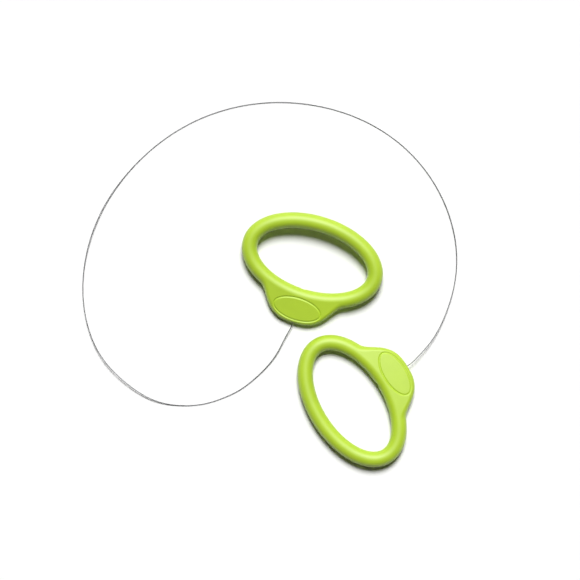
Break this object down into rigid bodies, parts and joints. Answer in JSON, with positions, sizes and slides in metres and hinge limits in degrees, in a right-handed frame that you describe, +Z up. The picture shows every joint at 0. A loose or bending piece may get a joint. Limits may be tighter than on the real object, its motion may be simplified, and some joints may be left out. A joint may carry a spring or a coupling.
{
  "type": "clay cutter",
  "caption": "Wire clay cutter: a thin stranded wire between two oval ring handles of soft rubber that swivel on its ends, laid out in a loop.",
  "frame": {"origin": "on the table, in the middle of the box round the two handles (the wire is left out of that box)", "axes": "+Z up from the table the tool lies on; seen from above, +X points right and +Y away from the viewer, with handle a behind handle b and the wire's loop to the left and behind"},
  "size_m": [0.2073, 0.2022, 0.0124],
  "materials": {
    "handle_rubber": "satin moulded thermoplastic rubber",
    "wire_steel": "bright stranded stainless wire",
    "crimp_alloy": "drawn tube, squeezed",
    "washer_steel": "stamped"
  },
  "bodies": {
    "wire": {"cutting_wire": "wire_steel", "crimp_sleeve_a": "crimp_alloy", "crimp_sleeve_b": "crimp_alloy", "washer_a": "washer_steel", "washer_b": "washer_steel"},
    "handle_a": {"handle_a": "handle_rubber"},
    "handle_b": {"handle_b": "handle_rubber"}
  },
  "joints": [
    {"name": "handle_a_swivel", "type": "hinge", "parent": "wire", "child": "handle_a", "pos_m": [-0.01959, 0.00936, 0.00266], "axis": [-0.301, -0.9488, -0.0958], "continuous": true},
    {"name": "handle_b_swivel", "type": "hinge", "parent": "wire", "child": "handle_b", "pos_m": [0.04371, -0.01451, 0.00415], "axis": [0.8453, 0.5344, 0], "continuous": true}
  ]
}
